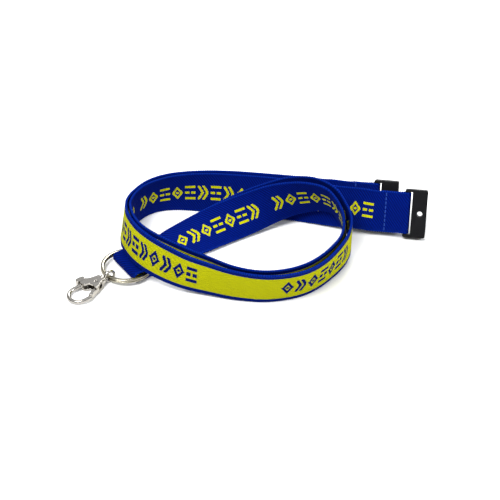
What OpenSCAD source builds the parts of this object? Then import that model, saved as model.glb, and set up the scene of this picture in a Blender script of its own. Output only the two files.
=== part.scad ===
// Woven safety lanyard: two lengths of webbing laid as a pair, sewn round a split ring
// that carries a swivel trigger clip, with the halves of a breakaway buckle on the far ends.
// Millimetres, +Z up, lying on Z = 0, origin under the middle of the whole object.

/* [Webbing] */
// Width of the webbing
webbing_w = 20; // [18:0.5:20]
// Thickness of the webbing
webbing_t = 1.2; // [0.9:0.1:1.2]

/* [Split ring] */
// Outer diameter of the split ring
ring_d = 24.2; // [24:0.1:24.6]
// Radial width of the ring's flat wire
ring_wire_w = 1.6; // [1.2:0.1:1.6]
// Height of one turn of the ring's flat wire
ring_wire_h = 1.0; // [0.7:0.1:1]

/* [Swivel clip] */
// Distance from the middle of the eye to the far end of the hook
clip_reach = 23; // [22.6:0.1:23.4]
// Diameter of the round bar that the hook is bent from
hook_bar_d = 1.9; // [1.8:0.1:2]
// Thickness of the gate lever
lever_t = 2.0; // [1.6:0.1:2]
// Diameter of the gate's pivot pin
pivot_d = 1.2; // [1:0.1:1.3]

/* [Breakaway buckle] */
// Length of each buckle half's body along the strap
buckle_l = 10.7; // [10.5:0.1:11]
// Height of each buckle half, across the strap
buckle_h = 22.8; // [22.4:0.2:23]
// Thickness of each buckle half
buckle_t = 3.8; // [3.4:0.1:3.8]
// Diameter of the snap hole through the socket
snap_hole_d = 2.6; // [2.2:0.1:2.8]

/* [Hidden] */
$fn = 48;

webbing_blue = [0.02, 0.06, 0.40];
webbing_yellow = [0.75, 0.75, 0.06];
thread_blue = [0.12, 0.30, 0.70];
nickel = [0.78, 0.77, 0.74];
black_plastic = [0.04, 0.04, 0.05];

// Shift that puts the middle of the whole object over the origin
place = [-1.0, 2.4, 0];

// Routes of the two straps from the ring end to the buckle end. Each row is x and y of the
// webbing's middle, the height of its lowest corner above the floor, and its lean from upright
// in degrees (positive leans its top edge to the left of the way it runs).
inner_route = [
  [-42.5, -6.5, 2.65, 90], [-40, -4.8, 2.65, 90], [-34.5, -1.1, 2.3, 80], [-26, 3.2, 1.3, 66],
  [-14, 9.7, 1, 50], [0, 16, 1.3, 31], [11, 19.6, 3, 13], [21, 20.5, 5.4, -4],
  [30, 18.2, 8, -16], [37.5, 13.5, 9, -20], [42.3, 6.3, 6, -14], [44, -2, 2.5, -5],
  [42, -11, 0.6, 4], [37, -20, 0.05, 9], [28, -30, 0, 13], [18, -36, 0, 14],
  [6, -38, 0, 14], [-6, -36, 0.4, 12], [-18, -31.5, 1.5, 7], [-30, -27.5, 3.2, 0],
  [-41, -22.5, 5.3, -4], [-48.5, -16.5, 5.9, -6], [-53, -9.5, 5.9, -6], [-55.5, -1, 5.1, -5],
  [-56.3, 8, 2.5, -4], [-55, 17, 1, -4], [-51, 25.2, 0.2, -4], [-44, 30.5, 0, -3],
  [-34, 33, 0, 5], [-20, 33.3, 0, 17], [-5, 32, 0, 25], [10, 30, 0, 27],
  [26, 26.5, 0, 28], [42, 21.5, 0.9, 29], [52, 18, 2.1, 28], [58, 15.9, 2.3, 27],
  [62, 15.2, 2.4, 27]
];
outer_route = [
  [-45, -8.3, 1.25, 90], [-42, -6.2, 1.2, 90], [-37, -2.7, 0.8, 88], [-27.5, 4, 0, 73],
  [-15, 11.7, 0, 55], [-1, 19, 0.5, 35], [11, 23, 2.4, 17], [21, 23.7, 5.6, 2],
  [31, 21.3, 8, -9], [39, 16, 8, -12], [44, 9.3, 5.4, -9], [46.7, 0, 2.4, -2],
  [45.7, -9, 0.6, 3], [41, -19, 0.05, 8], [32, -31, 0, 14], [22, -38, 0, 17],
  [8, -41, 0, 16], [-6, -39.3, 0.3, 12], [-19, -35.3, 1, 6], [-30, -31.7, 2.2, 0],
  [-40, -27.5, 4.6, -6], [-47.5, -22, 5.9, -9], [-53, -15, 6, -10], [-57, -6.5, 5.8, -10],
  [-58.8, 3, 3.4, -10], [-59, 12, 1.4, -9], [-56.5, 21, 0.2, -8], [-50, 29.7, 0, -6],
  [-40, 34.5, 0, 0], [-26, 35.7, 0, 11], [-10, 35.3, 0, 22], [6, 33.5, 0, 26],
  [22, 31, 0, 24], [34, 27.9, 0.5, 23], [40, 25.9, 1.4, 24], [44, 24.2, 1.9, 25],
  [48, 23.3, 2.1, 25]
];
// Rings of the swept webbing between two route points
rings_per_step = 2;

// Split ring: its middle, the height of its middle plane, and the gap between its turns
ring_pos = [-56.6, -15.8];
ring_z = 2.95;
turn_gap = 0.05;
ring_r = (ring_d - ring_wire_w) / 2;
turn_rise = ring_wire_h + turn_gap;
// Half of the part of a turn in which the wire steps up, as a fraction of a turn
step_half = 0.016;

// Ring-end loop, in its own frame: x from the fold's outer end, z from the floor
fold_l = 19.2;
fold_cavity = 3;
fold_outer_r = fold_cavity / 2 + webbing_t;
cavity_end = 15;
slope_end = 18.4;
fold_return_end = 16.8;

// End loops round the buckle bars, in the frame of the strap's end: x along the strap,
// y away from the lanyard's middle, z across the webbing
bar_r = 0.9;
loop_inner_r = bar_r + 0.1;
loop_outer_r = loop_inner_r + webbing_t;
bar_y = webbing_t / 2 + loop_inner_r;
bar_x = 11.8;
flare_x = 7.4;
loop_start = 0.4;
seam_x = 2.2;
slot_h = webbing_w + 0.4;
slot_end = 2.7;
buckle_corner_r = 0.9;
plug_l = buckle_l + 1;
pocket_l = 5.8;
pocket_w = 11;
pocket_t = 1.9;
tongue_l = 4.8;
tongue_clear = 0.12;
snap_x = buckle_l - bar_r - 3.2;

// Clip, in its own frame: x along the clip from the middle of its eye, y to its gate side. It
// hangs on the ring at the angle clip_side, its eye drawn in and up a little from the wire.
clip_side = 227;
clip_inset = 0.4;
clip_lift = 0.3;
clip_heading = 217;
clip_tilt = 4.6;
eye_bar_r = 0.65;
eye_r = 2.5;
shank_r = 1.0;
shank_clear = 0.05;
barrel_start = 3.3;
barrel_end = 5.2;
barrel_r = 2.1;
head_start = 4.8;
head_end = 5.5;
head_r = 1.5;
head_clear = 0.25;
slot_start = 5.75;
body_slot_end = 11;
body_pocket_y = -2.1;
body_pocket_end = 13.9;
body_t = 4.2;
slot_clear = 0.1;
pivot_pos = [7.5, 1.2];
pivot_clear = 0.03;
pin_recess = 0.35;
hub_r = 1.5;
hook_bar_r = hook_bar_d / 2;
hook_r = 4.9;
hook_mid_y = 1.8;
hook_mid_x = clip_reach - hook_r - hook_bar_r;
spine_start = 11.5;
nose_start = 13;
gate_tip_r = 8.2;
gate_gap = 0.15;
gate_w = 1.9;
gate_knee = [8.9, 3.6];
gate_aim = [16.4, 7.3];
tab_elbow = [9.0, -3.6];
tab_near = [11.0, -5.6];
tab_far = [13.0, -5.8];
tab_w = 2.5;
tab_arm_w = 1.4;
tab_t = 3.0;

// One stitch of the seams
stitch_l = 1.5;
stitch_w = 0.5;
stitch_h = 0.25;

// ---------- curves and frames ----------

function unit(v) = v / norm(v);

// Height of the webbing's middle above the floor, from its lift and lean
function middle_z(row) =
  row[2] + webbing_w / 2 * cos(row[3]) + webbing_t / 2 * abs(sin(row[3]));

function middles(route) = [for (row = route) [row[0], row[1], middle_z(row), row[3]]];

// A smooth line through four rows, and the way it runs
function spline(a, b, c, d, t) =
  0.5 * (2 * b + (c - a) * t + (2 * a - 5 * b + 4 * c - d) * t * t
  + (3 * b - 3 * c + d - a) * t * t * t);

function slope(a, b, c, d, t) =
  0.5 * ((c - a) + 2 * (2 * a - 5 * b + 4 * c - d) * t + 3 * (3 * b - 3 * c + d - a) * t * t);

// The rows with one more at each end, carried straight on
function carried_on(rows) =
  let (n = len(rows))
  concat([2 * rows[0] - rows[1]], rows, [2 * rows[n - 1] - rows[n - 2]]);

// Pairs of place and way along the whole route
function stations(route) =
  let (rows = carried_on(middles(route)), last = len(rows) - 3)
  [
    for (i = [0 : last - 1], j = [0 : rings_per_step - 1])
      let (t = j / rings_per_step)
      [spline(rows[i], rows[i + 1], rows[i + 2], rows[i + 3], t),
       slope(rows[i], rows[i + 1], rows[i + 2], rows[i + 3], t)],
    [rows[last + 1], rows[last + 1] - rows[last]]
  ];

// Corners of the webbing's cross-section, across by through
function webbing_outline() =
  let (a = webbing_w / 2, b = webbing_t / 2, e = webbing_t / 4)
  [[-a, -b + e], [-a + e, -b], [a - e, -b], [a, -b + e], [a, b - e], [a - e, b], [-a + e, b], [-a, b - e]];

// One cross-section in space
function section(station) =
  let (p = [station[0][0], station[0][1], station[0][2]],
       lean = station[0][3],
       t = unit([station[1][0], station[1][1], station[1][2]]),
       left = unit(cross([0, 0, 1], t)),
       across = cos(lean) * cross(t, left) + sin(lean) * left,
       through = cross(across, t))
  [for (c = webbing_outline()) p + c[0] * across + c[1] * through];

// A closed solid through rings of points, one after another
module skin(rings) {
  sides = len(rings[0]);
  count = len(rings);
  walls = [
    for (i = [0 : count - 2], k = [0 : sides - 1])
      let (a = i * sides + k, b = i * sides + (k + 1) % sides)
      each [[a, b, a + sides], [b, b + sides, a + sides]]
  ];
  first_cap = [for (k = [sides - 1 : -1 : 0]) k];
  last_cap = [for (k = [0 : sides - 1]) (count - 1) * sides + k];
  polyhedron([for (r = rings) each r], concat([first_cap], walls, [last_cap]), convexity = 10);
}

module ribbon(route) {
  translate(place) skin([for (s = stations(route)) section(s)]);
}

// Frame of a strap's far end: x along it, y outward, z across the webbing
module at_end(route) {
  n = len(route);
  step = middles(route)[n - 1] - middles(route)[n - 2];
  translate(place)
    translate([route[n - 1][0], route[n - 1][1], middle_z(route[n - 1])])
      rotate([0, 0, atan2(step[1], step[0])])
        rotate([0, -atan2(step[2], norm([step[0], step[1]])), 0])
          rotate([-route[n - 1][3], 0, 0])
            children();
}

module at_fold() {
  step = inner_route[1] - inner_route[0];
  translate(place)
    translate([inner_route[0][0], inner_route[0][1], 0])
      rotate([0, 0, atan2(step[1], step[0])])
        translate([-fold_l, 0, 0])
          children();
}

module at_clip() {
  translate(place)
    translate([ring_pos[0], ring_pos[1], ring_z])
      rotate([0, 0, clip_side])
        translate([ring_r - clip_inset, 0, clip_lift])
          rotate([0, 0, clip_heading - clip_side])
            rotate([0, clip_tilt, 0])
              children();
}

// A row of stitches along z, standing on the plane y = 0
module stitches(length) {
  count = floor(length / (stitch_l + 0.6));
  pitch = length / count;
  for (i = [0 : count - 1])
    translate([-stitch_w / 2, 0, -length / 2 + (i + 0.5) * pitch - stitch_l / 2])
      cube([stitch_w, stitch_h, stitch_l]);
}

// A straight bar in the plane, round at both ends
module bar2d(a, b, w) {
  v = b - a;
  translate(a) circle(d = w);
  translate(b) circle(d = w);
  translate(a) rotate(atan2(v[1], v[0])) translate([0, -w / 2]) square([norm(v), w]);
}

// ---------- webbing ----------

module inner_strap() {
  color(webbing_blue) ribbon(inner_route);
}

module outer_strap() {
  color(webbing_yellow) ribbon(outer_route);
}

// The inner strap's end, folded round the ring and back under itself
module ring_end_loop() {
  t = webbing_t;
  high = t + fold_cavity;
  low = inner_route[0][2];
  color(webbing_blue) at_fold()
    rotate([90, 0, 0])
      linear_extrude(height = webbing_w, center = true) {
        intersection() {
          difference() {
            translate([fold_outer_r, fold_outer_r]) circle(r = fold_outer_r);
            translate([fold_outer_r, fold_outer_r]) circle(r = fold_cavity / 2);
          }
          square([fold_outer_r, 2 * fold_outer_r]);
        }
        translate([fold_outer_r, 0]) square([fold_return_end - fold_outer_r, t]);
        polygon([
          [fold_outer_r, high], [cavity_end, high], [slope_end, low], [fold_l, low],
          [fold_l, low + t], [slope_end, low + t], [cavity_end, high + t], [fold_outer_r, high + t]
        ]);
      }
}

// A row of stitches on top of the ring end's seam
module ring_end_stitching() {
  color(thread_blue) at_fold()
    translate([fold_l - 0.4, 0, inner_route[0][2] + webbing_t])
      rotate([90, 0, 0]) stitches(webbing_w - 2);
}

// A strap's end, folded round a buckle's bar and back behind itself
module end_loop() {
  t = webbing_t;
  near = t / 2;
  far = bar_y + loop_inner_r;
  translate([0, 0, -webbing_w / 2])
    linear_extrude(height = webbing_w) {
      translate([0, -t / 2]) square([bar_x, t]);
      intersection() {
        difference() {
          translate([bar_x, bar_y]) circle(r = loop_outer_r);
          translate([bar_x, bar_y]) circle(r = loop_inner_r);
        }
        translate([bar_x, bar_y - loop_outer_r]) square([loop_outer_r, 2 * loop_outer_r]);
      }
      polygon([
        [loop_start, near], [flare_x, near], [bar_x, far],
        [bar_x, far + t], [flare_x, near + t], [loop_start, near + t]
      ]);
    }
}

module end_stitching() {
  translate([seam_x, -webbing_t / 2 - stitch_h, 0]) stitches(webbing_w - 1);
  translate([seam_x, webbing_t * 1.5, 0]) stitches(webbing_w - 1);
}

module socket_end_loop() {
  color(webbing_blue) at_end(inner_route) end_loop();
}

module socket_end_stitching() {
  color(thread_blue) at_end(inner_route) end_stitching();
}

module plug_end_loop() {
  color(webbing_yellow) at_end(outer_route) end_loop();
}

module plug_end_stitching() {
  color(thread_blue) at_end(outer_route) end_stitching();
}

// ---------- breakaway buckle ----------

// A rectangle with round corners
module rounded2d(low, high, r) {
  for (x = [low[0] + r, high[0] - r], y = [low[1] + r, high[1] - r])
    translate([x, y]) circle(r = r);
  translate([low[0] + r, low[1]]) square([high[0] - low[0] - 2 * r, high[1] - low[1]]);
  translate([low[0], low[1] + r]) square([high[0] - low[0], high[1] - low[1] - 2 * r]);
}

// A buckle half's body, from its bar's axis, with the webbing slot and the bar across it
module buckle_frame(length) {
  rotate([90, 0, 0]) linear_extrude(height = buckle_t, center = true) difference() {
    rounded2d([-bar_r, -buckle_h / 2], [length - bar_r, buckle_h / 2], buckle_corner_r);
    translate([-bar_r - 1, -slot_h / 2]) square([bar_r + 1 + slot_end, slot_h]);
  }
  cylinder(r = bar_r, h = slot_h + 0.4, center = true);
}

module breakaway_socket() {
  mouth = buckle_l - bar_r;
  color(black_plastic) at_end(inner_route) translate([bar_x, bar_y, 0])
    difference() {
      buckle_frame(buckle_l);
      translate([mouth - pocket_l, -pocket_t / 2, -pocket_w / 2]) cube([pocket_l + 1, pocket_t, pocket_w]);
      translate([snap_x, 0, 0]) rotate([90, 0, 0])
        cylinder(d = snap_hole_d, h = 2 * buckle_t, center = true);
    }
}

module breakaway_plug() {
  shoulder = plug_l - bar_r;
  mouth = buckle_l - bar_r;
  tongue_t = pocket_t - 2 * tongue_clear;
  tongue_w = pocket_w - 4 * tongue_clear;
  color(black_plastic) at_end(outer_route) translate([bar_x, bar_y, 0]) {
    buckle_frame(plug_l);
    translate([shoulder - 0.2, -tongue_t / 2, -tongue_w / 2]) cube([tongue_l + 0.2, tongue_t, tongue_w]);
    translate([shoulder + mouth - snap_x, 0, 0]) rotate([-90, 0, 0])
      cylinder(d = snap_hole_d - 2 * tongue_clear, h = buckle_t / 2 - 0.3);
  }
}

// ---------- ring and clip ----------

// Height of the ring's wire after a number of turns: level, with one quick step up
function wire_z(turn) =
  turn < 1 - step_half ? -turn_rise / 2
  : turn > 1 + step_half ? turn_rise / 2
  : turn_rise / 2 * sin(90 * (turn - 1) / step_half);

module split_ring() {
  first = 2 * step_half;
  level = [for (i = [0 : 55]) first + (1 - step_half - first) * i / 55];
  stops = concat(level, [for (i = [-2 : 2]) 1 + step_half * i / 3], [for (i = [55 : -1 : 0]) 2 - level[i]]);
  w = ring_wire_w / 2;
  h = ring_wire_h / 2;
  e = 0.25;
  outline = [
    [-w, -h + e], [-w + e, -h], [w - e, -h], [w, -h + e],
    [w, h - e], [w - e, h], [-w + e, h], [-w, h - e]
  ];
  color(nickel) translate(place) translate([ring_pos[0], ring_pos[1], ring_z]) rotate([0, 0, 100])
    skin([for (t = stops) [for (c = outline)
      [(ring_r + c[0]) * cos(360 * t), (ring_r + c[0]) * sin(360 * t), wire_z(t) + c[1]]]]);
}

// Eye, shank and the head that keeps the shank in the hook's body
module swivel_eye() {
  color(nickel) at_clip() {
    rotate([90, 0, 0]) rotate_extrude() translate([eye_r, 0]) circle(r = eye_bar_r);
    translate([eye_r, 0, 0]) rotate([0, 90, 0]) cylinder(r = shank_r, h = head_end - eye_r);
    translate([head_start, 0, 0]) rotate([0, 90, 0]) cylinder(r = head_r, h = head_end - head_start);
  }
}

// Outline of the hook's body from its barrel to the start of the hook
module body_outline() {
  polygon([
    [4.2, -1.9], [4.2, 1.9], [9.4, 5.0], [10.1, 4.4], [10.0, 2.2], [10.7, 0.4],
    [13.0, -0.6], [13.7, -2.6], [13.2, -3.9], [10.6, -4.0], [8.2, -2.8]
  ]);
}

module hook_body() {
  slot_t = lever_t + 2 * slot_clear;
  spine_y = hook_mid_y - hook_r;
  nose_y = hook_mid_y + hook_r;
  color(nickel) at_clip() difference() {
    union() {
      translate([barrel_start, 0, 0]) rotate([0, 90, 0])
        cylinder(r = barrel_r, h = barrel_end - barrel_start);
      translate([0, 0, -body_t / 2]) linear_extrude(height = body_t) body_outline();
      translate([spine_start, spine_y, 0]) rotate([0, 90, 0])
        cylinder(r = hook_bar_r, h = hook_mid_x - spine_start);
      translate([hook_mid_x, hook_mid_y, 0]) rotate([0, 0, -90])
        rotate_extrude(angle = 180) translate([hook_r, 0]) circle(r = hook_bar_r);
      translate([nose_start, nose_y, 0]) rotate([0, 90, 0])
        cylinder(r = hook_bar_r, h = hook_mid_x - nose_start);
    }
    translate([barrel_start - 1, 0, 0]) rotate([0, 90, 0]) cylinder(r = shank_r + shank_clear, h = 3);
    translate([head_start - 0.1, 0, 0]) rotate([0, 90, 0])
      cylinder(r = head_r + head_clear, h = slot_start - head_start + 0.2);
    translate([slot_start, -8, -slot_t / 2]) cube([body_slot_end - slot_start, 16, slot_t]);
    translate([slot_start, body_pocket_y, -slot_t / 2])
      cube([body_pocket_end - slot_start, 10, slot_t]);
    translate([pivot_pos[0], pivot_pos[1], -5]) cylinder(r = pivot_d / 2 + pivot_clear, h = 10);
    intersection() {
      translate([pivot_pos[0], pivot_pos[1], -5]) cylinder(r = gate_tip_r + gate_gap, h = 10);
      translate([11, 4, -5]) cube([8, 6, 10]);
    }
  }
}

// The gate, its hub on the pin, and the thumb tab on the far side of the spine
module gate_lever() {
  color(nickel) at_clip() {
    difference() {
      union() {
        translate([0, 0, -lever_t / 2]) linear_extrude(height = lever_t) {
          intersection() {
            bar2d(gate_knee, gate_aim, gate_w);
            translate(pivot_pos) circle(r = gate_tip_r);
          }
          translate(pivot_pos) circle(r = hub_r);
          bar2d(pivot_pos, gate_knee, gate_w);
          bar2d(pivot_pos, tab_elbow, tab_arm_w);
          bar2d(tab_elbow, tab_near, tab_arm_w);
        }
        translate([0, 0, -tab_t / 2]) linear_extrude(height = tab_t) bar2d(tab_near, tab_far, tab_w);
      }
      translate([pivot_pos[0], pivot_pos[1], -5]) cylinder(r = pivot_d / 2 + pivot_clear, h = 10);
    }
  }
}

module gate_pivot_pin() {
  color(nickel) at_clip() translate([pivot_pos[0], pivot_pos[1], 0])
    cylinder(d = pivot_d, h = body_t - 2 * pin_recess, center = true);
}

inner_strap();
outer_strap();
ring_end_loop();
ring_end_stitching();
socket_end_loop();
socket_end_stitching();
plug_end_loop();
plug_end_stitching();
breakaway_socket();
breakaway_plug();
split_ring();
swivel_eye();
hook_body();
gate_lever();
gate_pivot_pin();
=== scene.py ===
"""Looks for the lanyard: woven webbing, sewn folds, buckle halves, split ring and swivel clip."""
import math

import bmesh
import bpy
import numpy as np
from mathutils import Euler, Matrix, Vector


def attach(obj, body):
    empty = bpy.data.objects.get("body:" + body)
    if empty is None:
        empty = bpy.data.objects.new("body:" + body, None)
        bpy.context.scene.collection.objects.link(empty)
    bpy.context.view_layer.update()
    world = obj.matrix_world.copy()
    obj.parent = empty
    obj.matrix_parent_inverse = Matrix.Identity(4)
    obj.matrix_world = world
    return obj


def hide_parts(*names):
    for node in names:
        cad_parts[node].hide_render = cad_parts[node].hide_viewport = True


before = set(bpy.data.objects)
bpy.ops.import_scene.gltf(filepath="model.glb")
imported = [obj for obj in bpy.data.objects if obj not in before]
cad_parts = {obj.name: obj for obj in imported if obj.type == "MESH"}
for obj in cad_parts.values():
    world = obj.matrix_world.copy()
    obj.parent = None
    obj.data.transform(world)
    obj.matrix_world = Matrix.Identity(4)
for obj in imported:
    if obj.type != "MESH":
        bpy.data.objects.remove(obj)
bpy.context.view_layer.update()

MM = 0.001
# The whole part is shifted by this much, as in the part's source, so that its middle is the origin.
PLACE = Vector((-1.0, 2.4, 0.0)) * MM

# ---------------------------------------------------------------- sizes, in metres

WEBBING_T = 1.2 * MM
RING_STEP = 0.26 * MM
SCALLOP_PITCH = 1.05 * MM
SCALLOP_DEPTH = 0.24 * MM
OUTLINE_SMOOTHING = 6

# Routes of the two straps, the same points as the part's source: x, y and the height of the
# webbing's lowest corner in millimetres, and its lean from upright in degrees.
INNER_ROUTE = [
    (-42.5, -6.5, 2.65, 90), (-40, -4.8, 2.65, 90), (-34.5, -1.1, 2.3, 80), (-26, 3.2, 1.3, 66),
    (-14, 9.7, 1, 50), (0, 16, 1.3, 31), (11, 19.6, 3, 13), (21, 20.5, 5.4, -4),
    (30, 18.2, 8, -16), (37.5, 13.5, 9, -20), (42.3, 6.3, 6, -14), (44, -2, 2.5, -5),
    (42, -11, 0.6, 4), (37, -20, 0.05, 9), (28, -30, 0, 13), (18, -36, 0, 14),
    (6, -38, 0, 14), (-6, -36, 0.4, 12), (-18, -31.5, 1.5, 7), (-30, -27.5, 3.2, 0),
    (-41, -22.5, 5.3, -4), (-48.5, -16.5, 5.9, -6), (-53, -9.5, 5.9, -6), (-55.5, -1, 5.1, -5),
    (-56.3, 8, 2.5, -4), (-55, 17, 1, -4), (-51, 25.2, 0.2, -4), (-44, 30.5, 0, -3),
    (-34, 33, 0, 5), (-20, 33.3, 0, 17), (-5, 32, 0, 25), (10, 30, 0, 27),
    (26, 26.5, 0, 28), (42, 21.5, 0.9, 29), (52, 18, 2.1, 28), (58, 15.9, 2.3, 27),
    (62, 15.2, 2.4, 27),
]
OUTER_ROUTE = [
    (-45, -8.3, 1.25, 90), (-42, -6.2, 1.2, 90), (-37, -2.7, 0.8, 88), (-27.5, 4, 0, 73),
    (-15, 11.7, 0, 55), (-1, 19, 0.5, 35), (11, 23, 2.4, 17), (21, 23.7, 5.6, 2),
    (31, 21.3, 8, -9), (39, 16, 8, -12), (44, 9.3, 5.4, -9), (46.7, 0, 2.4, -2),
    (45.7, -9, 0.6, 3), (41, -19, 0.05, 8), (32, -31, 0, 14), (22, -38, 0, 17),
    (8, -41, 0, 16), (-6, -39.3, 0.3, 12), (-19, -35.3, 1, 6), (-30, -31.7, 2.2, 0),
    (-40, -27.5, 4.6, -6), (-47.5, -22, 5.9, -9), (-53, -15, 6, -10), (-57, -6.5, 5.8, -10),
    (-58.8, 3, 3.4, -10), (-59, 12, 1.4, -9), (-56.5, 21, 0.2, -8), (-50, 29.7, 0, -6),
    (-40, 34.5, 0, 0), (-26, 35.7, 0, 11), (-10, 35.3, 0, 22), (6, 33.5, 0, 26),
    (22, 31, 0, 24), (34, 27.9, 0.5, 23), (40, 25.9, 1.4, 24), (44, 24.2, 1.9, 25),
    (48, 23.3, 2.1, 25),
]

# ---------------------------------------------------------------- camera

CAMERA_ELEVATION = math.radians(37.4)
CAMERA_DISTANCE = 650 * MM
cam_data = bpy.data.cameras.new("camera")
cam_data.sensor_width = 36
cam_data.lens = 99.4
cam_data.clip_start = 0.01
cam = bpy.data.objects.new("camera", cam_data)
bpy.context.scene.collection.objects.link(cam)
cam.location = PLACE + CAMERA_DISTANCE * Vector(
    (0, -math.cos(CAMERA_ELEVATION), math.sin(CAMERA_ELEVATION))
)
cam.rotation_euler = Euler((math.pi / 2 - CAMERA_ELEVATION, 0, 0))
bpy.context.scene.camera = cam

# ---------------------------------------------------------------- node helpers


class Nodes:
    """Shader nodes written as sums: every call adds a node and returns its output socket."""

    def __init__(self, name):
        self.material = bpy.data.materials.new(name)
        self.material.use_nodes = True
        self.tree = self.material.node_tree
        self.shader = self.tree.nodes["Principled BSDF"]

    def _set(self, socket, value):
        if isinstance(value, bpy.types.NodeSocket):
            self.tree.links.new(value, socket)
        else:
            socket.default_value = value

    def math(self, operation, a, b=0.0, c=0.0, clamp=False):
        node = self.tree.nodes.new("ShaderNodeMath")
        node.operation = operation
        node.use_clamp = clamp
        for socket, value in zip(node.inputs, (a, b, c)):
            self._set(socket, value)
        return node.outputs[0]

    def add(self, a, b):
        return self.math("ADD", a, b)

    def sub(self, a, b):
        return self.math("SUBTRACT", a, b)

    def mul(self, a, b, clamp=False):
        return self.math("MULTIPLY", a, b, clamp=clamp)

    def below(self, a, limit):
        return self.math("LESS_THAN", a, limit)

    def above(self, a, limit):
        return self.math("GREATER_THAN", a, limit)

    def either(self, a, b):
        return self.math("MAXIMUM", a, b)

    def both(self, a, b):
        return self.math("MULTIPLY", a, b)

    def distance(self, a, place):
        return self.math("ABSOLUTE", self.sub(a, place))

    def snap(self, a, step):
        """a at the middle of its step of the weave"""
        return self.mul(self.add(self.math("FLOOR", self.math("DIVIDE", a, step)), 0.5), step)

    def wave(self, a, period, phase=0.0):
        """0 to 1, highest at whole periods"""
        turned = self.add(self.math("DIVIDE", a, period), phase)
        return self.add(self.mul(self.math("COSINE", self.mul(turned, 2 * math.pi)), 0.5), 0.5)

    def mix(self, factor, a, b):
        node = self.tree.nodes.new("ShaderNodeMix")
        node.data_type = "RGBA"
        self._set(node.inputs[0], factor)
        for socket, value in zip(node.inputs[6:8], (a, b)):
            self._set(socket, value if isinstance(value, bpy.types.NodeSocket) else (*value, 1))
        return node.outputs[2]

    def noise(self, scale, detail=2.0, vector=None):
        node = self.tree.nodes.new("ShaderNodeTexNoise")
        node.inputs["Scale"].default_value = scale
        node.inputs["Detail"].default_value = detail
        if vector is None:
            vector = self.object_point()
        self.tree.links.new(vector, node.inputs["Vector"])
        return node.outputs["Fac"]

    def object_point(self):
        return self.tree.nodes.new("ShaderNodeTexCoord").outputs["Object"]

    def uv(self):
        node = self.tree.nodes.new("ShaderNodeSeparateXYZ")
        coordinates = self.tree.nodes.new("ShaderNodeUVMap")
        coordinates.uv_map = "webbing"
        self.tree.links.new(coordinates.outputs[0], node.inputs[0])
        return node.outputs[0], node.outputs[1]

    def bump(self, height, distance, strength=1.0):
        node = self.tree.nodes.new("ShaderNodeBump")
        node.inputs["Strength"].default_value = strength
        node.inputs["Distance"].default_value = distance
        self._set(node.inputs["Height"], height)
        self.tree.links.new(node.outputs[0], self.shader.inputs["Normal"])

    def finish(self, color=None, **values):
        if color is not None:
            self._set(
                self.shader.inputs["Base Color"],
                color if isinstance(color, bpy.types.NodeSocket) else (*color, 1),
            )
        for key, value in values.items():
            self._set(self.shader.inputs[key.replace("_", " ")], value)
        return self.material


# ---------------------------------------------------------------- webbing materials

BLUE = (0.0003, 0.0110, 0.195)
BLUE_DARK = (0.0001, 0.0018, 0.045)
# the lighter blue of the webbing's edges is a painted highlight where light catches the edges
BLUE_EDGE_HIGHLIGHT = (0.0008, 0.0200, 0.250)
YELLOW = (0.66, 0.65, 0.001)
YELLOW_DARK = (0.20, 0.21, 0.004)
YELLOW_SPECK = (0.16, 0.18, 0.010)
SELVEDGE = (0.0004, 0.0120, 0.190)

# The weave's floating threads, as length, spacing of their rows and set-over of each row.
GROUND_THREADS = (1.30 * MM, 0.50 * MM, 0.36)
FINE_THREADS = (0.80 * MM, 0.40 * MM, 0.5)
TWILL_PERIOD, TWILL_SLANT = 1.30 * MM, 0.72
CROSS_TWILL_PERIOD, CROSS_TWILL_SLANT = 1.05 * MM, 0.9
SELVEDGE_FROM = 7.5 * MM

# The woven band: figures one after another in cells, in three groups, then a plain stretch.
CELL = 6.25 * MM
CELLS_IN_REPEAT = 33
GROUPS = ((0, 7), (8, 17), (18, 27))
FIGURE_HALF_H = 3.6 * MM
YELLOW_FACE_STRETCH = 1.22
YELLOW_FACE_BOLD = 1.25
STROKE = 1.3 * MM
KIND_STEP = 1.7
KINDS = 3.0
LOZENGE_HALF_W = 2.7 * MM
LOZENGE_LINE, LOZENGE_LINE_HALF_W, LOZENGE_CORE = 0.78, 0.22, 0.28
CHEVRON_SLANT = 0.58
CHEVRON_PLACES = (-0.2 * MM, 2.2 * MM)
CHEVRON_HALF_W = 2.6 * MM
BAR_PLACE, BAR_HALF_T, BAR_HALF_W = 2.95 * MM, 0.62 * MM, 2.4 * MM
BAR_SPLIT_HALF = 0.6 * MM
THREAD_U = 0.42 * MM
THREAD_V = 0.30 * MM


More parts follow.
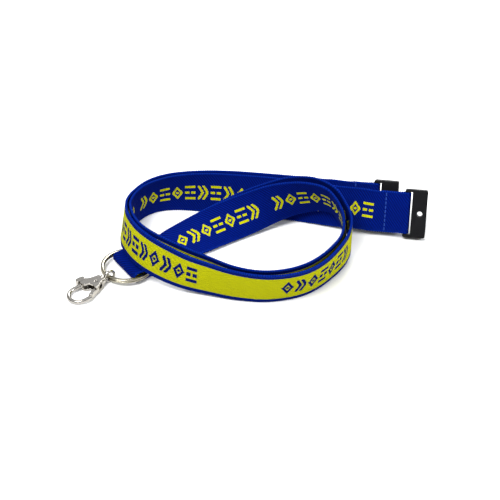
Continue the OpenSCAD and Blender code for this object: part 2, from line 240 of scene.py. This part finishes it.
def woven_band(n, u, v, mirrored):
    """1 where a figure of the band is woven, in a face whose run is u and height v, in metres"""
    along = n.math("DIVIDE", u, CELL)
    bold = YELLOW_FACE_BOLD if mirrored else 1.0
    if mirrored:
        along = n.sub(1000.0 * CELLS_IN_REPEAT, along)
        v = n.math("DIVIDE", v, YELLOW_FACE_STRETCH)
    cell = n.math("FLOOR", along)
    index = n.math("FLOORED_MODULO", cell, float(CELLS_IN_REPEAT))
    present = None
    for first, last in GROUPS:
        inside = n.both(n.above(index, first - 0.5), n.below(index, last - 0.5))
        present = inside if present is None else n.either(present, inside)
    x = n.snap(n.mul(n.sub(n.sub(along, cell), 0.5), CELL), THREAD_U)
    y = n.snap(v, THREAD_V)
    ax = n.math("ABSOLUTE", x)
    ay = n.math("ABSOLUTE", y)
    in_height = n.below(ay, FIGURE_HALF_H)
    in_width = n.below(ax, CHEVRON_HALF_W)
    # a lozenge with a lozenge in its middle
    lozenge = n.add(n.math("DIVIDE", ax, LOZENGE_HALF_W), n.math("DIVIDE", ay, FIGURE_HALF_H))
    outline = n.below(n.distance(lozenge, LOZENGE_LINE), LOZENGE_LINE_HALF_W * bold)
    figure_a = n.either(outline, n.below(lozenge, LOZENGE_CORE))
    # two chevrons, one behind the other
    slanted = n.add(x, n.mul(ay, CHEVRON_SLANT))
    first_chevron, second_chevron = (
        n.below(n.distance(slanted, place), STROKE * 0.5 * bold) for place in CHEVRON_PLACES
    )
    figure_b = n.both(n.either(first_chevron, second_chevron), in_width)
    # three bars along the webbing, the middle one split
    bars = n.either(
        n.below(n.distance(ay, BAR_PLACE), BAR_HALF_T * bold),
        n.both(n.below(ay, BAR_HALF_T * bold), n.above(ax, BAR_SPLIT_HALF)),
    )
    figure_c = n.both(bars, n.below(ax, BAR_HALF_W))
    kind = n.math("FLOORED_MODULO", n.math("FLOOR", n.mul(index, KIND_STEP)), KINDS)
    chosen = n.either(
        n.both(figure_a, n.below(kind, 0.5)),
        n.either(
            n.both(figure_b, n.both(n.above(kind, 0.5), n.below(kind, 1.5))),
            n.both(figure_c, n.above(kind, 1.5)),
        ),
    )
    return n.both(n.both(chosen, present), in_height)


def dashes(n, u, v, length, row, shift):
    """0 to 1 over floating threads: short dashes in rows, each row set over by a part of one"""
    line = n.math("FLOOR", n.math("DIVIDE", v, row))
    across = n.math("ABSOLUTE", n.sub(n.math("FRACT", n.math("DIVIDE", v, row)), 0.5))
    roundness = n.sub(1.0, n.mul(n.mul(across, across), 3.2))
    run = n.wave(u, length, n.mul(line, shift))
    return n.mul(roundness, n.math("POWER", run, 0.6))


def webbing_material(name, yellow_ground, band_start):
    n = Nodes(name)
    u, v = n.uv()
    u = n.sub(u, band_start)
    ground_height = dashes(n, u, v, *GROUND_THREADS)
    fine_height = dashes(n, u, v, *FINE_THREADS)
    twill = n.wave(n.add(u, n.mul(v, TWILL_SLANT)), TWILL_PERIOD)
    figure = woven_band(n, u, v, yellow_ground)
    drift = n.noise(900.0, 2.0)
    patches = n.noise(60.0, 2.0)
    if yellow_ground:
        edge = n.above(n.math("ABSOLUTE", v), SELVEDGE_FROM)
        cross_twill = n.wave(n.sub(u, n.mul(v, CROSS_TWILL_SLANT)), CROSS_TWILL_PERIOD)
        speck = n.mul(cross_twill, n.add(0.15, n.noise(1300.0, 1.0)))
        base = n.mix(n.mul(fine_height, 1.5, True), YELLOW_DARK, YELLOW)
        base = n.mix(n.mul(speck, 0.85), base, YELLOW_SPECK)
        over = n.mix(n.mul(ground_height, 0.7), BLUE_DARK, BLUE)
        selvedge = n.mix(n.mul(n.add(ground_height, twill), 0.55), BLUE_DARK, SELVEDGE)
        color = n.mix(edge, n.mix(figure, base, over), selvedge)
    else:
        base = n.mix(n.mul(n.add(ground_height, n.mul(twill, 1.5)), 0.44, True), BLUE_DARK, BLUE)
        over = n.mix(n.mul(fine_height, 1.6, True), YELLOW_DARK, YELLOW)
        color = n.mix(figure, base, over)
    shade = n.add(0.80, n.add(n.mul(drift, 0.22), n.mul(patches, 0.18)))
    tint = n.tree.nodes.new("ShaderNodeMix")
    tint.data_type = "RGBA"
    tint.blend_type = "MULTIPLY"
    tint.inputs[0].default_value = 1.0
    n.tree.links.new(color, tint.inputs[6])
    grey = n.tree.nodes.new("ShaderNodeCombineColor")
    for socket in grey.inputs[:3]:
        n.tree.links.new(shade, socket)
    n.tree.links.new(grey.outputs[0], tint.inputs[7])
    height = n.add(n.mul(ground_height, 0.8), n.add(n.mul(figure, 0.7), n.mul(drift, 0.25)))
    n.bump(height, 0.22 * MM, 0.9)
    rough = n.sub(0.86, n.mul(ground_height, 0.12))
    return n.finish(tint.outputs[2], Roughness=rough, Specular_IOR_Level=0.02)


def edge_material():
    n = Nodes("webbing_edge")
    u, _ = n.uv()
    ribs = n.wave(u, SCALLOP_PITCH)
    drift = n.noise(1500.0, 2.0)
    # the edge is painted lighter towards its ridges: a painted highlight on the webbing's edges
    color = n.mix(n.mul(n.add(ribs, drift), 0.62, True), BLUE_DARK, BLUE_EDGE_HIGHLIGHT)
    n.bump(n.add(ribs, n.mul(drift, 0.5)), 0.15 * MM, 0.8)
    return n.finish(color, Roughness=0.85, Specular_IOR_Level=0.03)


# ---------------------------------------------------------------- webbing meshes


class Station:
    """A place on a strap: its middle, the way it runs, its width direction and its outward face"""

    def __init__(self, p, t, across, through):
        self.p, self.t, self.across, self.through = p, t, across, through


def spline(a, b, c, d, t):
    return 0.5 * (
        2 * b + (c - a) * t + (2 * a - 5 * b + 4 * c - d) * t * t + (3 * b - 3 * c + d - a) * t**3
    )


def slope(a, b, c, d, t):
    return 0.5 * (
        (c - a) + 2 * (2 * a - 5 * b + 4 * c - d) * t + 3 * (3 * b - 3 * c + d - a) * t * t
    )


def station_from(row, way):
    lean = math.radians(row[3])
    t = Vector(way[:3]).normalized()
    left = Vector((0, 0, 1)).cross(t).normalized()
    across = math.cos(lean) * t.cross(left) + math.sin(lean) * left
    return Station(PLACE + Vector(row[:3]) * MM, t, across, across.cross(t))


def route_stations(route):
    rows = []
    for x, y, lift, lean in route:
        turn = math.radians(lean)
        height = lift + 10 * math.cos(turn) + 0.6 * abs(math.sin(turn))
        rows.append(np.array((x, y, height, lean), float))
    rows = [2 * rows[0] - rows[1]] + rows + [2 * rows[-1] - rows[-2]]
    stations = []
    for a, b, c, d in zip(rows, rows[1:], rows[2:], rows[3:]):
        count = max(2, round(np.linalg.norm((c - b)[:3]) * MM / RING_STEP))
        for k in range(count):
            t = k / count
            stations.append(station_from(spline(a, b, c, d, t), slope(a, b, c, d, t)))
    stations.append(station_from(rows[-2], rows[-2] - rows[-3]))
    return stations


def outline_stations(points, frame_matrix):
    """Stations along an outline drawn in a fold's own plane, x along the strap and y out of it"""
    dense = []
    pts = [Vector(p) * MM for p in points]
    for a, b in zip(pts, pts[1:]):
        count = max(1, round((b - a).length / RING_STEP))
        dense += [a.lerp(b, k / count) for k in range(count)]
    dense.append(pts[-1])
    for _ in range(OUTLINE_SMOOTHING):
        dense = (
            [dense[0]]
            + [0.25 * p + 0.5 * q + 0.25 * r for p, q, r in zip(dense, dense[1:], dense[2:])]
            + [dense[-1]]
        )
    rotation = frame_matrix.to_3x3()
    across = (rotation @ Vector((0, 0, 1))).normalized()
    stations = []
    for i, p in enumerate(dense):
        ahead = dense[min(i + 1, len(dense) - 1)] - dense[max(i - 1, 0)]
        t = (rotation @ Vector((ahead.x, ahead.y, 0))).normalized()
        stations.append(
            Station(frame_matrix @ Vector((p.x, p.y, 0)), t, across, across.cross(t).normalized())
        )
    return stations


def arc(cx, cy, r, start, end, count=14):
    """Points on an arc about (cx, cy), with its angles in degrees"""
    angles = (math.radians(start + (end - start) * k / count) for k in range(count + 1))
    return [(cx + r * math.cos(q), cy + r * math.sin(q)) for q in angles]


def run_lengths(stations, start=0.0):
    """How far along the webbing each station is"""
    lengths = [start]
    for a, b in zip(stations, stations[1:]):
        lengths.append(lengths[-1] + (b.p - a.p).length)
    return lengths


# Half of the webbing's section: distance from the middle and half thickness, in millimetres.
HALF_SECTION = [
    (0.0, 0.555), (3.5, 0.555), (6.6, 0.555), (8.3, 0.55), (8.7, 0.50), (9.0, 0.565),
    (9.45, 0.57), (9.75, 0.49), (9.93, 0.30),
]
EDGE_FROM = 9.4


def webbing_section():
    """Points round the section, as across, through and which face: 0 inner, 1 outer, 2 edge"""
    row = [(-a, h) for a, h in reversed(HALF_SECTION[1:])] + HALF_SECTION
    inner = [(a, -h) for a, h in row]
    outer = [(a, h) for a, h in reversed(row)]
    return inner + [(10.0, 0.0)] + outer + [(-10.0, 0.0)]


def quad(i, sides, k, nxt):
    """The face between rings i and i + 1, from their point k to their point nxt"""
    here, ahead = i * sides, (i + 1) * sides
    return here + k, here + nxt, ahead + nxt, ahead + k


def make_object(name, verts, faces, materials, face_slots=None, uvs=None):
    mesh = bpy.data.meshes.new(name)
    mesh.from_pydata(verts, [], faces)
    for material in materials:
        mesh.materials.append(material)
    if face_slots is not None:
        mesh.polygons.foreach_set("material_index", face_slots)
    if uvs is not None:
        layer = mesh.uv_layers.new(name="webbing")
        layer.data.foreach_set("uv", np.asarray(uvs, np.float32).ravel())
    mesh.polygons.foreach_set("use_smooth", [True] * len(mesh.polygons))
    mesh.update()
    obj = bpy.data.objects.new(name, mesh)
    bpy.context.scene.collection.objects.link(obj)
    return obj


def webbing(name, stations, lengths, cap_start=False, cap_end=False):
    """The webbing's section swept along the stations, with its run and height as the UV map"""
    section = webbing_section()
    sides = len(section)
    verts, faces, slots, uvs = [], [], [], []
    for s, run in zip(stations, lengths):
        pull = SCALLOP_DEPTH * (0.5 + 0.5 * math.cos(2 * math.pi * run / SCALLOP_PITCH))
        for a, b in section:
            inward = pull if abs(a) > EDGE_FROM else 0.0
            reach = a * MM - math.copysign(inward, a)
            verts.append(s.p + reach * s.across + b * MM * s.through)
    for i in range(len(stations) - 1):
        for k in range(sides):
            nxt = (k + 1) % sides
            faces.append(quad(i, sides, k, nxt))
            a0, b0 = section[k]
            a1, b1 = section[nxt]
            middle, height = (a0 + a1) / 2, (b0 + b1) / 2
            slots.append(2 if abs(middle) > EDGE_FROM else (0 if height < 0 else 1))
            uvs += [
                (lengths[i], a0 * MM), (lengths[i], a1 * MM),
                (lengths[i + 1], a1 * MM), (lengths[i + 1], a0 * MM),
            ]
    for cap, i in ((cap_start, 0), (cap_end, len(stations) - 1)):
        if cap:
            ring = [i * sides + k for k in range(sides)]
            faces.append(tuple(reversed(ring)) if i == 0 else tuple(ring))
            slots.append(2)
            uvs += [(lengths[i], 0.0)] * sides
    return make_object(name, verts, faces, WEBBING_MATERIALS, slots, uvs)


inner_stations = route_stations(INNER_ROUTE)
outer_stations = route_stations(OUTER_ROUTE)
inner_lengths = run_lengths(inner_stations)
outer_lengths = run_lengths(outer_stations)

BAND_START_INNER = 10 * MM
BAND_START_OUTER = 172 * MM
blue_face = webbing_material("webbing_blue_face", False, BAND_START_INNER)
yellow_face = webbing_material("webbing_yellow_face", True, BAND_START_OUTER)
edge_face = edge_material()
WEBBING_MATERIALS = [blue_face, yellow_face, edge_face]

inner_strap = webbing("inner_webbing", inner_stations, inner_lengths)
outer_strap = webbing("outer_webbing", outer_stations, outer_lengths, cap_start=True)


def frame_of(station):
    """x along the strap, y outward and z across it, at a station"""
    m = Matrix((station.t, station.through, station.across)).transposed().to_4x4()
    m.translation = station.p
    return m


# The folds round the buckles' bars, in the frame of the strap's end.
BAR_X, BAR_Y, FOLD_MID_R = 11.8, 1.6, 1.6
LAP_FROM_X, LAP_END_X, LAP_Y = 7.4, 0.4, 1.2
end_outline = (
    [(0, 0), (BAR_X, 0)]
    + arc(BAR_X, BAR_Y, FOLD_MID_R, -90, 90)[1:]
    + [(LAP_FROM_X, LAP_Y), (LAP_END_X, LAP_Y)]
)
inner_end = frame_of(inner_stations[-1])
outer_end = frame_of(outer_stations[-1])
socket_fold_stations = outline_stations(end_outline, inner_end)
plug_fold_stations = outline_stations(end_outline, outer_end)
socket_fold = webbing(
    "socket_fold", socket_fold_stations, run_lengths(socket_fold_stations, inner_lengths[-1]),
    cap_end=True,
)
plug_fold = webbing(
    "plug_fold", plug_fold_stations, run_lengths(plug_fold_stations, outer_lengths[-1]),
    cap_end=True,
)

# The fold round the ring, from its free end under the ring to the inner strap's start. Here x
# runs along the strap from the fold's outer end, and y is the height above the floor.
FOLD_L = 19.2
FOLD_UNDER_Y, FOLD_OVER_Y, FOLD_SEAM_Y = 0.6, 4.8, 3.25
FOLD_BEND_X, FOLD_BEND_R = 2.7, 2.1
FOLD_RETURN_END_X, CAVITY_END_X, SLOPE_END_X = 16.8, 15.0, 18.4
start = inner_stations[0]
fold_origin = Vector((start.p.x, start.p.y, 0)) - FOLD_L * MM * start.t
fold_frame = Matrix((start.t, Vector((0, 0, 1)), -start.across)).transposed().to_4x4()
fold_frame.translation = fold_origin
ring_outline = (
    [(FOLD_RETURN_END_X, FOLD_UNDER_Y), (FOLD_BEND_X, FOLD_UNDER_Y)]
    + arc(FOLD_BEND_X, FOLD_UNDER_Y + FOLD_BEND_R, FOLD_BEND_R, -90, -270)[1:]
    + [(CAVITY_END_X, FOLD_OVER_Y), (SLOPE_END_X, FOLD_SEAM_Y), (FOLD_L, FOLD_SEAM_Y)]
)
ring_fold_stations = outline_stations(ring_outline, fold_frame)
for station in ring_fold_stations:
    station.across = -station.across
    station.through = -station.through
ring_fold_total = run_lengths(ring_fold_stations)[-1]
ring_fold = webbing(
    "ring_fold", ring_fold_stations, run_lengths(ring_fold_stations, -ring_fold_total),
    cap_start=True,
)

for piece, node in (
    (inner_strap, "inner_strap"), (outer_strap, "outer_strap"), (ring_fold, "ring_end_loop"),
    (socket_fold, "socket_end_loop"), (plug_fold, "plug_end_loop"),
):
    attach(piece, "webbing")
    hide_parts(node)

# ---------------------------------------------------------------- stitching

thread = Nodes("sewing_thread")
twist = thread.noise(2600.0, 3.0)
thread.bump(twist, 0.05 * MM, 0.6)
thread_material = thread.finish(
    thread.mix(twist, (0.004, 0.026, 0.20), (0.010, 0.060, 0.36)),
    Roughness=0.65, Specular_IOR_Level=0.2, Sheen_Weight=0.05,
)

STITCH_L, STITCH_GAP, STITCH_R = 1.75 * MM, 0.25 * MM, 0.24 * MM


def stitch_row(bm, middle, along, out, length):
    """A row of stitches centred on middle, each a thread that rises from the cloth and dives in"""
    count = int(length / (STITCH_L + STITCH_GAP))
    pitch = length / count
    side = along.cross(out).normalized()
    rings, around = 9, 8
    for i in range(count):
        centre = middle + along * (-length / 2 + (i + 0.5) * pitch)
        rows = []
        for j in range(rings):
            f = j / (rings - 1) * 2 - 1
            rise = 0.10 * MM * (1 - f**4) - 0.26 * MM * f**6
            r = STITCH_R * (1 - 0.45 * f**6)
            c = centre + along * (f * STITCH_L / 2) + out * rise
            rows.append([
                bm.verts.new(
                    c + side * (1.15 * r * math.cos(q)) + out * (0.72 * r * math.sin(q))
                )
                for q in (2 * math.pi * k / around for k in range(around))
            ])
        for a, b in zip(rows, rows[1:]):
            for k in range(around):
                bm.faces.new((a[k], b[k], b[(k + 1) % around], a[(k + 1) % around]))
        bm.faces.new(rows[0])
        bm.faces.new(reversed(rows[-1]))


def stitching(name, rows, node):
    bm = bmesh.new()
    for row in rows:
        stitch_row(bm, *row)
    bmesh.ops.recalc_face_normals(bm, faces=bm.faces)
    mesh = bpy.data.meshes.new(name)
    bm.to_mesh(mesh)
    bm.free()
    mesh.materials.append(thread_material)
    mesh.polygons.foreach_set("use_smooth", [True] * len(mesh.polygons))
    obj = bpy.data.objects.new(name, mesh)
    bpy.context.scene.collection.objects.link(obj)
    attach(obj, "webbing")
    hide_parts(node)
    return obj


SEAM_X = 2.2
SEAM_SURFACE = 0.555
END_SEAM_L, RING_SEAM_L = 18.6 * MM, 18.0 * MM
RING_SEAM_INSET = 0.4


def end_rows(m):
    """The stitch rows on both faces of a buckle's fold"""
    r = m.to_3x3()
    along, out = r @ Vector((0, 0, 1)), r @ Vector((0, 1, 0))
    front = m @ (Vector((SEAM_X, -SEAM_SURFACE, 0)) * MM)
    back = m @ (Vector((SEAM_X, LAP_Y + SEAM_SURFACE, 0)) * MM)
    return [(front, along, -out, END_SEAM_L), (back, along, out, END_SEAM_L)]


stitching("socket_seam", end_rows(inner_end), "socket_end_stitching")
stitching("plug_seam", end_rows(outer_end), "plug_end_stitching")
up = Vector((0, 0, 1))
seam_middle = (
    fold_origin
    + start.t * (FOLD_L - RING_SEAM_INSET) * MM
    + up * (FOLD_SEAM_Y + SEAM_SURFACE) * MM
)
stitching("ring_seam", [(seam_middle, start.across, up, RING_SEAM_L)], "ring_end_stitching")

# ---------------------------------------------------------------- hardware


def applied(obj, name):
    """A new object that holds obj's mesh with its modifiers applied; obj itself goes"""
    bpy.context.view_layer.update()
    depsgraph = bpy.context.evaluated_depsgraph_get()
    mesh = bpy.data.meshes.new_from_object(obj.evaluated_get(depsgraph))
    mesh.name = name
    bpy.data.objects.remove(obj)
    made = bpy.data.objects.new(name, mesh)
    bpy.context.scene.collection.objects.link(made)
    mesh.polygons.foreach_set("use_smooth", [True] * len(mesh.polygons))
    return made


def copy_of(node):
    """A new object with the CAD node's mesh, its double points merged"""
    obj = bpy.data.objects.new("work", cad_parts[node].data.copy())
    bpy.context.scene.collection.objects.link(obj)
    bm = bmesh.new()
    bm.from_mesh(obj.data)
    bmesh.ops.remove_doubles(bm, verts=bm.verts, dist=1e-6)
    bm.to_mesh(obj.data)
    bm.free()
    return obj


def hand_over(piece, node, body, material):
    """The piece gets its material, rides on its body and takes the CAD node's place"""
    piece.data.materials.clear()
    piece.data.materials.append(material)
    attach(piece, body)
    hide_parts(node)


def cast_piece(node, name, body, material, voxel, passes):
    """A cast part: the CAD solid with its edges rounded as metal leaves a mould"""
    obj = copy_of(node)
    remesh = obj.modifiers.new("remesh", "REMESH")
    remesh.mode = "VOXEL"
    remesh.voxel_size = voxel
    soften = obj.modifiers.new("soften", "SMOOTH")
    soften.factor = 0.5
    soften.iterations = passes
    hand_over(applied(obj, name), node, body, material)


def moulded_piece(node, name, body, material, width):
    """A moulded plastic part: the CAD solid with its sharp edges rounded off"""
    obj = copy_of(node)
    bevel = obj.modifiers.new("bevel", "BEVEL")
    bevel.width = width
    bevel.segments = 3
    bevel.limit_method = "ANGLE"
    bevel.angle_limit = math.radians(40)
    made = applied(obj, name)
    made.data.set_sharp_from_angle(angle=math.radians(35))
    hand_over(made, node, body, material)


# Bright metal seen edge-on is tinted down: a painted dark reflection at the metal's edges.
EDGE_SHADE_TINT = (0.45, 0.42, 0.36, 1.0)


def plated(name, color, roughness):
    n = Nodes(name)
    grain = n.noise(1400.0, 3.0)
    broad = n.noise(160.0, 2.0)
    n.bump(broad, 0.02 * MM, 0.2)
    rough = n.add(roughness - 0.03, n.mul(grain, 0.06))
    dull = tuple(0.86 * c for c in color)
    return n.finish(
        # the specular tint darkens the reflection edge-on: painted dark reflection at the edges
        n.mix(broad, dull, color), Metallic=1.0, Roughness=rough, Specular_Tint=EDGE_SHADE_TINT,
    )


clip_nickel = plated("clip_nickel", (0.50, 0.475, 0.435), 0.19)
ring_nickel = plated("ring_nickel", (0.42, 0.39, 0.31), 0.16)
pin_steel = plated("pin_steel", (0.22, 0.21, 0.20), 0.42)

plastic = Nodes("buckle_plastic")
pits = plastic.noise(1800.0, 3.0)
broad = plastic.noise(90.0, 2.0)
plastic.bump(pits, 0.04 * MM, 0.5)
buckle_plastic = plastic.finish(
    plastic.mix(broad, (0.0022, 0.0022, 0.0030), (0.0045, 0.0044, 0.0056)),
    Roughness=plastic.add(0.42, plastic.mul(pits, 0.12)), Specular_IOR_Level=0.16,
)

BUCKLE_EDGE_R = 0.3 * MM
for node, name, body, voxel, passes in (
    ("hook_body", "clip_hook", "hook", 0.11 * MM, 12),
    ("gate_lever", "clip_gate", "gate", 0.10 * MM, 8),
    ("swivel_eye", "clip_eye", "eye", 0.09 * MM, 6),
):
    cast_piece(node, name, body, clip_nickel, voxel, passes)
for node, name, body in (
    ("breakaway_socket", "buckle_socket", "socket"),
    ("breakaway_plug", "buckle_plug", "plug"),
):
    moulded_piece(node, name, body, buckle_plastic, BUCKLE_EDGE_R)
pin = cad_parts["gate_pivot_pin"]
pin.data.materials.clear()
pin.data.materials.append(pin_steel)

# The split ring: flat wire with rounded edges, wound twice, with a step between the turns.
RING_CENTRE = PLACE + Vector((-56.6, -15.8, 2.95)) * MM
RING_R, WIRE_HALF_W, WIRE_HALF_H = 11.3 * MM, 0.8 * MM, 0.5 * MM
TURN_RISE = 1.05 * MM
# half of the step's length, as a part of a turn
STEP_HALF = 0.016
RING_TURN_START = math.radians(100)


def wire_height(turn):
    return TURN_RISE / 2 * math.sin(math.pi / 2 * max(-1, min(1, (turn - 1) / STEP_HALF)))


def ring_mesh():
    """Two turns of flat wire, a little thinner at both ends"""
    count, around = 560, 16
    verts, faces = [], []
    first, last = 2 * STEP_HALF, 2 - 2 * STEP_HALF
    for i in range(count + 1):
        turn = first + (last - first) * i / count
        taper = min(1.0, 0.55 + 90 * min(turn - first, last - turn))
        angle = RING_TURN_START + 2 * math.pi * turn
        out = Vector((math.cos(angle), math.sin(angle), 0))
        for k in range(around):
            q = 2 * math.pi * k / around
            x = math.copysign(abs(math.cos(q)) ** 0.55, math.cos(q)) * WIRE_HALF_W
            z = math.copysign(abs(math.sin(q)) ** 0.75, math.sin(q)) * WIRE_HALF_H * taper
            verts.append(RING_CENTRE + out * (RING_R + x) + Vector((0, 0, wire_height(turn) + z)))
    for i in range(count):
        for k in range(around):
            nxt = (k + 1) % around
            faces.append(quad(i, around, k, nxt))
    faces.append(tuple(reversed(range(around))))
    faces.append(tuple(range(count * around, (count + 1) * around)))
    return make_object("key_ring", verts, faces, [ring_nickel])


key_ring = ring_mesh()
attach(key_ring, "ring")
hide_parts("split_ring")

# ---------------------------------------------------------------- floor and light

bpy.ops.mesh.primitive_plane_add(size=6)
floor = bpy.context.object
floor.name = "floor"
paper = Nodes("floor_paper")
floor.data.materials.append(paper.finish((0.93, 0.93, 0.93), Roughness=0.9, Specular_IOR_Level=0.1))


def soft_light(name, location, size, energy, color=(1, 1, 1)):
    data = bpy.data.lights.new(name, "AREA")
    data.shape = "SQUARE"
    data.size = size
    data.energy = energy
    data.color = color
    obj = bpy.data.objects.new(name, data)
    obj.location = location
    obj.rotation_euler = (-Vector(location)).to_track_quat("-Z", "Y").to_euler()
    bpy.context.scene.collection.objects.link(obj)


soft_light("key", (-0.30, -0.35, 0.90), 0.45, 11.0)
soft_light("fill", (0.75, -0.15, 0.55), 0.4, 4.0)
soft_light("back", (0.1, 0.75, 0.75), 0.4, 5.5)

world = bpy.data.worlds.new("studio")
world.use_nodes = True
bpy.context.scene.world = world
sky = world.node_tree.nodes["Background"]
sky.inputs[0].default_value = (0.95, 0.97, 1, 1)
# a studio that is dim towards its walls and bright overhead, which gives plated metal its shading
direction = world.node_tree.nodes.new("ShaderNodeTexCoord").outputs["Generated"]
split = world.node_tree.nodes.new("ShaderNodeSeparateXYZ")
rise = world.node_tree.nodes.new("ShaderNodeMapRange")
world.node_tree.links.new(direction, split.inputs[0])
world.node_tree.links.new(split.outputs[2], rise.inputs["Value"])
for key, value in (("From Min", 0.10), ("From Max", 0.75), ("To Min", 0.03), ("To Max", 0.75)):
    rise.inputs[key].default_value = value
world.node_tree.links.new(rise.outputs[0], sky.inputs[1])
bpy.context.scene.view_settings.view_transform = "Standard"
